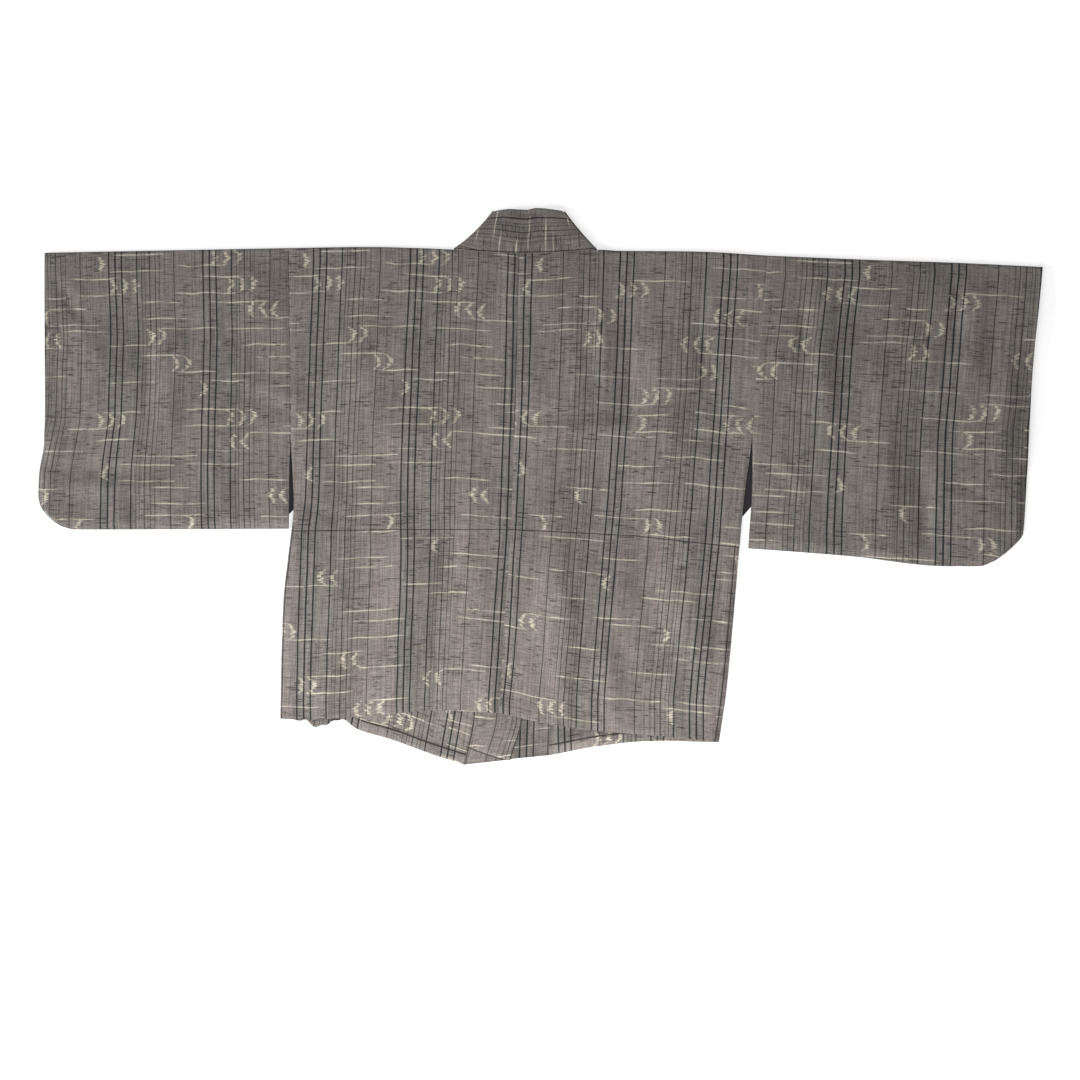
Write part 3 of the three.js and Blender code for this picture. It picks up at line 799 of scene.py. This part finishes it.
def neck_band(left_line, right_line):
    """The band behind the neck, with its dent, its ridge and small waves."""
    share = even(COLLAR_NECK_ROWS)
    seam = left_line[0] + (right_line[0] - left_line[0]) * share[:, None]
    edge = left_line[-1] + (right_line[-1] - left_line[-1]) * share[:, None]
    seam[1:-1, 1] = neck_dip(seam[1:-1, 0]) + SEAM_GAP / 2
    top_share, top_y = zip(*COLLAR_TOP)
    edge[1:-1, 1] = np.interp(share[1:-1], top_share, top_y)
    flat = seam[:, None] + (edge - seam)[:, None] * ACROSS_BAND
    flat = flat + bow_of(left_line)[None] * smooth(share, BOW_FADE, 0)[:, None, None]
    flat = flat + bow_of(right_line)[None] * smooth(share, 1 - BOW_FADE, 1)[:, None, None]
    x, y = flat[..., 0], flat[..., 1]
    soft = smooth(share, 0, 0.12)[:, None] * smooth(share, 1, 0.88)[:, None]
    dent_x = (x - NECK_DENT["x"]) / NECK_DENT["half_width"]
    dent_y = (y - NECK_DENT["y"]) / NECK_DENT["half_length"]
    dent = NECK_DENT["height"] * np.exp(-(dent_x**2) - dent_y**2)
    off_ridge = x - NECK_RIDGE["x"] + NECK_RIDGE["lean"] * (y - NECK_RIDGE["y"])
    ridge = NECK_RIDGE["height"] * np.exp(-((off_ridge / NECK_RIDGE["half_width"]) ** 2))
    waves = 0.35 * np.sin(x / 11 + 0.8) + 0.25 * np.sin((x + y) / 7)
    return np.dstack([flat, BAND_HIGH_Z + (BAND_LOFT + dent + ridge + waves) * soft])


def collar(material):
    """One band the whole way round. Its left end lies on the right one, so it is lifted there."""
    left_line, left_away = turn_line(LEFT["collar_turn"], -1)
    right_line, right_away = turn_line(RIGHT["collar_turn"], 1)
    stretches = [
        front_band(LEFT, -1, left_line, left_band_rise)[::-1],
        half_circle(left_line, left_away, BAND_LOW_Z, TURN_RADIUS),
        neck_band(left_line, right_line),
        half_circle(right_line, right_away, BAND_LOW_Z, TURN_RADIUS)[::-1],
        front_band(RIGHT, 1, right_line, right_band_rise),
    ]
    grid = np.concatenate(stretches)
    maps = {"cloth": band_map(grid), "lines": band_lines(grid)}
    return mesh_from("haori_collar", grid, BAND, maps, material)


def band_lines(grid):
    """Distances from a painted shade line just past the end of the left band's upper layer, and
    from the seam or the edge.
    """
    seam_line = np.linalg.norm(grid - grid[:, :1], axis=2) - BAND_SEAM_LINE
    edge_line = np.linalg.norm(grid - grid[:, -1:], axis=2) - BAND_EDGE_LINE
    end_shade_line = np.full(seam_line.shape, NO_LINE)
    past_end = past_band_end()[::-1]
    left = slice(len(past_end))
    # painted shade below the end of the left band's upper layer
    end_shade_line[left] = past_end * LEFT_BAND_LENGTH - BAND_END_SHADE_LINE
    seam_line[left] = np.minimum(seam_line, edge_line)[left]
    return np.dstack([end_shade_line, seam_line])


# ---- lining ----


def lining_strip(name, half, material):
    """The strip of lining that shows between the sleeve and the body."""
    down, across = even(LINING_ROWS), even(LINING_COLUMNS)
    sleeve_edge = curve(half["lining_sleeve_edge"])(down)
    body_edge = curve(half["lining_body_edge"])(down)
    flat = sleeve_edge[:, None] + (body_edge - sleeve_edge)[:, None] * across[None, :, None]
    x, y = flat[..., 0], flat[..., 1]
    z = (FRONT_Z + BACK_Z) / 2 + 0.12 * np.sin(y / 5 + x / 9) * smooth(down, 0, 0.2)[:, None]
    grid = np.dstack([x, y, z])
    return mesh_from(name, grid, LINING, {"cloth": flat.copy()}, material)


# ---- materials ----


class Wire:
    """A number in a shader tree, so that its maths can be written as plain sums."""

    def __init__(self, tree, socket):
        self.tree = tree
        self.socket = socket

    def math(self, operation, *others, clamp=False):
        node = self.tree.nodes.new("ShaderNodeMath")
        node.operation = operation
        node.use_clamp = clamp
        for socket, value in zip(node.inputs, (self, *others)):
            plug(self.tree, value, socket)
        return Wire(self.tree, node.outputs[0])

    def __add__(self, other):
        return self.math("ADD", other)

    def __sub__(self, other):
        return self.math("SUBTRACT", other)

    def __mul__(self, other):
        return self.math("MULTIPLY", other)

    def times_plus(self, scale, offset, clamp=False):
        return self.math("MULTIPLY_ADD", scale, offset, clamp=clamp)

    def size(self):
        return self.math("ABSOLUTE")

    def floor(self):
        return self.math("FLOOR")

    def wrap(self, span):
        return self.math("FLOORED_MODULO", span)

    def larger(self, other):
        return self.math("MAXIMUM", other)

    def smaller(self, other):
        return self.math("MINIMUM", other)

    def above(self, limit):
        return self.math("GREATER_THAN", limit)

    def within(self, half_width, blur):
        """1 where the size is under half_width, falling to 0 over blur."""
        return self.size().times_plus(-1 / blur, half_width / blur + 0.5, clamp=True)

    def under(self, limit, blur):
        """1 below the limit, falling to 0 over blur. The limit may be a wire."""
        return (self - limit).times_plus(-1 / blur, 0.5, clamp=True)


def plug(tree, value, socket):
    if isinstance(value, Wire):
        tree.links.new(value.socket, socket)
    else:
        socket.default_value = value


class Shader:
    """A material's node tree with the few textures that the cloth needs."""

    def __init__(self, name):
        self.material = bpy.data.materials.new(name)
        self.material.use_nodes = True
        self.tree = self.material.node_tree
        self.surface = self.tree.nodes["Principled BSDF"]

    def uv(self, map_name):
        node = self.tree.nodes.new("ShaderNodeUVMap")
        node.uv_map = map_name
        split = self.tree.nodes.new("ShaderNodeSeparateXYZ")
        self.tree.links.new(node.outputs["UV"], split.inputs[0])
        return Wire(self.tree, split.outputs["X"]), Wire(self.tree, split.outputs["Y"])

    def join(self, x, y, z=0.0):
        node = self.tree.nodes.new("ShaderNodeCombineXYZ")
        for socket, value in zip(node.inputs, (x, y, z)):
            plug(self.tree, value, socket)
        return node.outputs[0]

    def noise(self, u, v, length_u, length_v, seed, detail=1.0):
        """Noise from 0 to 1 with features of the given lengths across and along the warp."""
        node = self.tree.nodes.new("ShaderNodeTexNoise")
        node.inputs["Scale"].default_value = 1.0
        node.inputs["Detail"].default_value = detail
        place = self.join(u * (1 / length_u), v * (1 / length_v), seed)
        self.tree.links.new(place, node.inputs["Vector"])
        return Wire(self.tree, node.outputs[0])

    def random(self, cell_u, cell_v, seed):
        """Three random numbers from 0 to 1 for each cell."""
        node = self.tree.nodes.new("ShaderNodeTexWhiteNoise")
        node.noise_dimensions = "3D"
        self.tree.links.new(self.join(cell_u, cell_v, seed), node.inputs["Vector"])
        split = self.tree.nodes.new("ShaderNodeSeparateColor")
        self.tree.links.new(node.outputs["Color"], split.inputs[0])
        return [Wire(self.tree, output) for output in split.outputs]

    def mix(self, share, first, second):
        """A colour mixed from two. Each is a socket or a tuple of linear red, green and blue."""
        node = self.tree.nodes.new("ShaderNodeMix")
        node.data_type = "RGBA"
        plug(self.tree, share, node.inputs["Factor"])
        for name, colour in (("A", first), ("B", second)):
            socket = next(s for s in node.inputs if s.name == name and s.type == "RGBA")
            if isinstance(colour, tuple):
                socket.default_value = (*colour, 1.0)
            else:
                self.tree.links.new(colour, socket)
        return next(s for s in node.outputs if s.type == "RGBA")

    def scale(self, colour, factor):
        """A colour times a number."""
        node = self.tree.nodes.new("ShaderNodeVectorMath")
        node.operation = "SCALE"
        self.tree.links.new(colour, node.inputs[0])
        plug(self.tree, factor, node.inputs["Scale"])
        return node.outputs[0]

    def bump(self, height, distance, strength):
        node = self.tree.nodes.new("ShaderNodeBump")
        node.inputs["Strength"].default_value = strength
        node.inputs["Distance"].default_value = distance
        plug(self.tree, height, node.inputs["Height"])
        self.tree.links.new(node.outputs["Normal"], self.surface.inputs["Normal"])

    def set(self, **values):
        for name, value in values.items():
            self.surface.inputs[name.replace("_", " ")].default_value = value


# Stripes in one repeat: place across the bolt, width, darkness. The fine ones fade in and out.
STRONG_STRIPES = [(0.0, 1.9, 1.0), (8.7, 2.1, 1.0), (17.4, 2.0, 1.0), (38.0, 1.7, 0.97)]
FINE_STRIPES = [
    (44.5, 1.0, 0.8),
    (48.8, 0.9, 0.72),
    (55.4, 1.3, 1.0),
    (63.0, 1.1, 0.95),
    (68.6, 0.9, 0.75),
    (88.8, 1.3, 0.95),
    (76.0, 1.0, 0.3),
    (27.0, 1.0, 0.3),
    (101.0, 1.0, 0.22),
    (113.0, 1.0, 0.25),
]

GROUND_PINK = (0.186, 0.159, 0.147)
GROUND_GREEN = (0.155, 0.146, 0.130)
STRIPE_DARK = (0.010, 0.014, 0.014)
STRIPE_BROWN = (0.030, 0.027, 0.023)
CREAM = (0.60, 0.545, 0.44)
SLUB_DARK = (0.020, 0.016, 0.016)
# dark sewn lines, also used for painted shade
SEAM_AND_SHADE_DARK = (0.022, 0.018, 0.017)
LINING_DARK = (0.005, 0.004, 0.006)
LINING_LIGHT = (0.012, 0.009, 0.013)

CELL = 150.0  # of the ikat, across the bolt
ROW = 34.0  # of the ikat, down the warp
MOTIF_HEIGHT = 21.0
CRESCENT_STEP = 15.0
CRESCENT_BULGE = 7.0
WAVER_MEAN = 1.6  # how far the stripes waver to one side on average


def stripe_set(place, table, blur):
    """How dark a table's stripes are at a place in the repeat, from 0 to 1."""
    dark = place * 0
    for centre, width, darkness in table:
        distance = place - (centre + WAVER_MEAN)
        dark = dark.larger(distance.within(width / 2, blur) * darkness)
    return dark


def stripes(shader, u, v):
    """How dark the strong and the fine warp stripes are, and the place in the repeat."""
    waver = shader.noise(u, v, 70, 110, 3.1) * 2.6 + shader.noise(u, v, 5, 30, 8.4) * 0.5
    place = (u + waver).wrap(REPEAT)
    patchy = shader.noise(u, v, 4, 85, 5.7, detail=2).times_plus(2.4, 0.1, clamp=True)
    fine = stripe_set(place, FINE_STRIPES, 0.6) * patchy
    return stripe_set(place, STRONG_STRIPES, 0.7), fine, place


def crescents(shader, a, b, v, centre, count, lean):
    """A row of one to three crescents between the two dashes of a motif."""
    t = (b - MOTIF_HEIGHT / 2) * (2 / MOTIF_HEIGHT)
    square = t * t
    bulge = (square * -1 + 1) * CRESCENT_BULGE * lean
    pick = (v * (1 / 1.5)).floor()
    shape = a * 0
    for k in range(3):
        along, taken, _ = shader.random(pick, centre.floor(), 20.5 + k)
        middle = centre + CRESCENT_STEP * (k - 1)
        half_width = square.times_plus(-1.7, 2.6)
        distance = (a - middle - bulge + along * 4.6 - 2.3).size()
        drawn = distance.under(half_width, 2.0) * count.above(k + 0.5)
        shape = shape.larger(drawn * taken.times_plus(0.75, 0.3))
    return shape * t.within(1.0, 0.25)


def ikat(shader, u, v, most_crescents):
    """How strongly the pale ikat weft shows, from 0 to 1."""
    wavy = v + shader.noise(u, v, 45, 400, 12.3) * 5
    row = (wavy * (1 / ROW)).floor()
    shift = shader.random(row, row, 1.5)[0] * CELL
    moved = u + shift
    cell = (moved * (1 / CELL)).floor()
    r1, r2, r3 = shader.random(cell, row, 2.5)
    r4, r5, r6 = shader.random(cell, row, 3.5)
    r7, r8, r9 = shader.random(cell, row, 4.5)
    a = moved - cell * CELL
    b = wavy - row * ROW - r2 * 8 - 2.5
    centre = r1 * 30 + 60
    lean = r3.above(0.5) * 2 - 1
    count = (r4 * 4.7 - 0.9).floor().smaller(most_crescents)
    shape = crescents(shader, a, b, v, centre, count, lean)

    broken = shader.noise(u, v, 22, 3, 9.9, detail=2).times_plus(3.0, -0.75, clamp=True)
    level_noise = shader.noise(u, v, 30, 9, 11.1, detail=2) * 3.2 - 1.6
    for level, side, length, present in ((0.0, r5, r6, r7), (MOTIF_HEIGHT, r8, r9, r7 * -1 + 1)):
        direction = side.above(0.5) * 2 - 1
        half_length = length * 28 + 27
        middle = centre + direction * (half_length - 10) + side * 18 - 9
        along = (a - middle).size().under(half_length - 6, 14)
        thin = (b - level + level_noise).within(0.72, 0.9)
        strength = (length * -0.35 + 1.15) * present.above(0.12)
        shape = shape.larger(along * thin * broken * strength)
    return shape


def slubs(shader, u, v, width, height, amount, seed):
    """Short dark thick places in the weft, one at most in each cell."""
    row = (v * (1 / height)).floor()
    shift = shader.random(row, row, seed + 0.5)[0] * width
    moved = (u + shift) * (1 / width)
    cell = moved.floor()
    r1, r2, r3 = shader.random(cell, row, seed + 1.5)
    a = (moved - cell - 0.5) * width
    b = v - row * height - height / 2
    half_length = r2 * r2 * width * 0.36 + 1.6
    thickness = r3 * r3 * 0.55 + 0.45
    cluster = shader.noise(u, v, 36, 26, seed + 6.6, detail=2).times_plus(4.2, -1.8, clamp=True)
    present = r1.under(cluster * amount, 0.001)
    dark = present * (r2 * -0.4 + 1)
    return a.size().under(half_length, 3.5) * b.size().under(thickness, 0.6) * dark


def kasuri_cloth(name, tone, warmth, most_crescents=3):
    """Striped and ikat-dyed slubby silk. Tone scales its lightness, warmth leans it to pink."""
    shader = Shader(name)
    u, v = shader.uv("cloth")
    strong, fine, place = stripes(shader, u, v)
    pale = ikat(shader, u, v, most_crescents)
    slub = slubs(shader, u, v, 34, 2.9, 0.62, 30.0)
    slub = slub.larger(slubs(shader, u, v, 15, 1.9, 0.25, 50.0) * 0.8)

    green_zone = (place - 34).within(30, 30)
    warp_bands = shader.noise(u, v, 5, 260, 14.2, detail=3)
    greenness = green_zone * 0.3 + warp_bands * 1.7 - (0.65 + warmth)
    ground = shader.mix(greenness.times_plus(1, 0, clamp=True), GROUND_PINK, GROUND_GREEN)

    warp_threads = shader.noise(u, v, 0.85, 40, 16.8)
    warp_streaks = shader.noise(u, v, 2.2, 90, 22.3)
    weft_threads = shader.noise(u, v, 22, 0.8, 17.9)
    grain = shader.noise(u, v, 1.7, 1.5, 18.4)
    blotches = shader.noise(u, v, 60, 70, 19.6, detail=2)
    lightness = warp_threads + weft_threads * 1.5 + grain * 0.9 + blotches * 0.5
    lightness = lightness + warp_streaks * 0.7
    average = 0.5 * (1 + 1.5 + 0.9 + 0.5 + 0.7)
    ground = shader.scale(ground, (lightness - (average - 1)) * tone)

    thready = shader.noise(u, v, 1.6, 0.9, 21.7).times_plus(2.2, -0.45, clamp=True)
    pale_strength = (thready * 0.45 + 0.5) * pale
    colour = shader.mix(pale_strength, ground, CREAM)
    colour = shader.mix(fine * (pale * -0.5 + 0.92), colour, STRIPE_BROWN)
    worn = grain * 0.3 + 0.85
    colour = shader.mix((strong * worn * (pale * -0.4 + 1)).smaller(0.97), colour, STRIPE_DARK)
    colour = shader.mix(slub * 0.85, colour, SLUB_DARK)

    # The lines map draws dark sewn lines and painted shade: the gaps in the left front's ruck and a
    # line past the end of the left band's upper layer
    across_line, side_line = shader.uv("lines")
    sewn = across_line.within(0.75, 0.8).larger(side_line.within(0.7, 0.8))
    colour = shader.mix(sewn * 0.93, colour, SEAM_AND_SHADE_DARK)
    shader.tree.links.new(colour, shader.surface.inputs["Base Color"])

    rough = (grain * -0.12 + 0.95) - slub * 0.1
    plug(shader.tree, rough, shader.surface.inputs["Roughness"])
    weave = warp_threads * 0.5 + weft_threads * 0.7 + grain * 0.4
    weave = weave + slub * 0.8 + pale * 0.25 - sewn * 1.2
    shader.bump(weave, 0.5 * MM, 0.55)
    shader.set(Specular_IOR_Level=0.22, Sheen_Weight=0.12, Sheen_Roughness=0.5)
    return shader.material


def lining_silk(name):
    """Dark plum habutae: smooth, close, a little shiny."""
    shader = Shader(name)
    u, v = shader.uv("cloth")
    threads = shader.noise(u, v, 0.5, 14, 2.2) * 0.6 + shader.noise(u, v, 12, 0.5, 5.5) * 0.6
    soft = shader.noise(u, v, 24, 30, 7.7, detail=2)
    colour = shader.mix(soft, LINING_DARK, LINING_LIGHT)
    colour = shader.scale(colour, threads + 0.4)
    shader.tree.links.new(colour, shader.surface.inputs["Base Color"])
    plug(shader.tree, soft * 0.15 + 0.45, shader.surface.inputs["Roughness"])
    shader.bump(threads, 0.2 * MM, 0.4)
    shader.set(Sheen_Weight=0.2)
    return shader.material


# ---- the jacket ----

body_cloth = kasuri_cloth("kasuri_body", 1.0, 0.0)
sleeve_cloth = kasuri_cloth("kasuri_sleeve", 0.97, -0.15)
collar_cloth = kasuri_cloth("kasuri_collar", 0.88, 0.0, most_crescents=0)
plum_lining = lining_silk("lining_plum")

body_left = body_panel("haori_body_left", LEFT, -1, "left", body_cloth)
body_right = body_panel("haori_body_right", RIGHT, 1, "right", body_cloth)
sleeve_left = sleeve("haori_sleeve_left", LEFT, -1, "left", sleeve_cloth)
sleeve_right = sleeve("haori_sleeve_right", RIGHT, 1, "right", sleeve_cloth)
collar_band = collar(collar_cloth)
lining_left = lining_strip("haori_lining_left", LEFT, plum_lining)
lining_right = lining_strip("haori_lining_right", RIGHT, plum_lining)

# piece, CAD node, slot, cut width and length in metres, area in square metres, what it lies on
PIECES = [
    (body_left, "body_left", "kasuri_cloth", (0.34, 1.27), 0.35, ["haori_collar"]),
    (body_right, "body_right", "kasuri_cloth", (0.34, 1.27), 0.35, ["haori_collar"]),
    (sleeve_left, "sleeve_left", "kasuri_cloth", (0.33, 0.73), None, ["haori_lining_left"]),
    (sleeve_right, "sleeve_right", "kasuri_cloth", (0.36, 0.76), None, ["haori_lining_right"]),
    (collar_band, "collar", "kasuri_cloth", (0.06, 1.50), None, ["haori_body_left"]),
    (lining_left, "lining_left", "lining", (0.024, 0.11), None, ["haori_sleeve_left"]),
    (lining_right, "lining_right", "lining", (0.032, 0.10), None, ["haori_sleeve_right"]),
]

for piece, node, slot, cut, area, under in PIECES:
    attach(piece, "root")
    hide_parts(node)

# ---- floor, light and camera ----

# In metres, like everything from here on
FRAME_CENTRE = Vector((-0.0006, -0.0685, 0.0))
FRAME_WIDTH = 1.3824
LENS, SENSOR = 85.0, 36.0
FLOOR_HALF = 60.0
FLOOR_Z = -0.0003
FLOOR_GREY = 0.55
FLOOR_GLOW = 0.65
STUDIO_LIGHT = 0.3

# name, place, size across, power in watts
LIGHTS = [
    ("key", (-0.08, -1.02, 0.62), 0.8, 16.5),
    ("rake", (-4.0, -0.6, 1.15), 1.0, 205),
    ("fill", (0.6, 0.9, 2.6), 2.0, 3),
]


def make_floor():
    """A plain pale floor that glows a little, as white as the background of a cut-out."""
    half = FLOOR_HALF
    corners = [(-half, -half, 0), (half, -half, 0), (half, half, 0), (-half, half, 0)]
    mesh = bpy.data.meshes.new("floor")
    mesh.from_pydata(corners, [], [(0, 1, 2, 3)])
    shader = Shader("floor_paper")
    grey = (FLOOR_GREY, FLOOR_GREY, FLOOR_GREY, 1)
    shader.set(Base_Color=grey, Roughness=0.9, Specular_IOR_Level=0.1)
    shader.set(Emission_Color=(1, 1, 1, 1), Emission_Strength=FLOOR_GLOW)
    mesh.materials.append(shader.material)
    floor = add_object("floor", mesh)
    floor.location.z = FLOOR_Z


def make_light(name, place, size, power):
    """A round soft lamp that points at the middle of the jacket."""
    light = bpy.data.lights.new(name, "AREA")
    light.shape = "DISK"
    light.size = size
    light.energy = power
    lamp = add_object(name, light)
    lamp.location = place
    lamp.rotation_euler = (-Vector(place)).to_track_quat("-Z", "Y").to_euler()


def make_world():
    """White light from all around."""
    world = bpy.data.worlds.new("studio")
    world.use_nodes = True
    background = world.node_tree.nodes["Background"]
    background.inputs["Color"].default_value = (1, 1, 1, 1)
    background.inputs["Strength"].default_value = STUDIO_LIGHT
    bpy.context.scene.world = world
    bpy.context.scene.view_settings.view_transform = "Standard"


def make_camera():
    """Straight above, so far up that the frame is FRAME_WIDTH wide on the floor."""
    camera = bpy.data.cameras.new("camera")
    camera.lens = LENS
    camera.sensor_width = SENSOR
    viewer = add_object("camera", camera)
    viewer.location = FRAME_CENTRE + Vector((0, 0, FRAME_WIDTH * LENS / SENSOR))
    bpy.context.scene.camera = viewer


make_floor()
for light in LIGHTS:
    make_light(*light)
make_world()
make_camera()
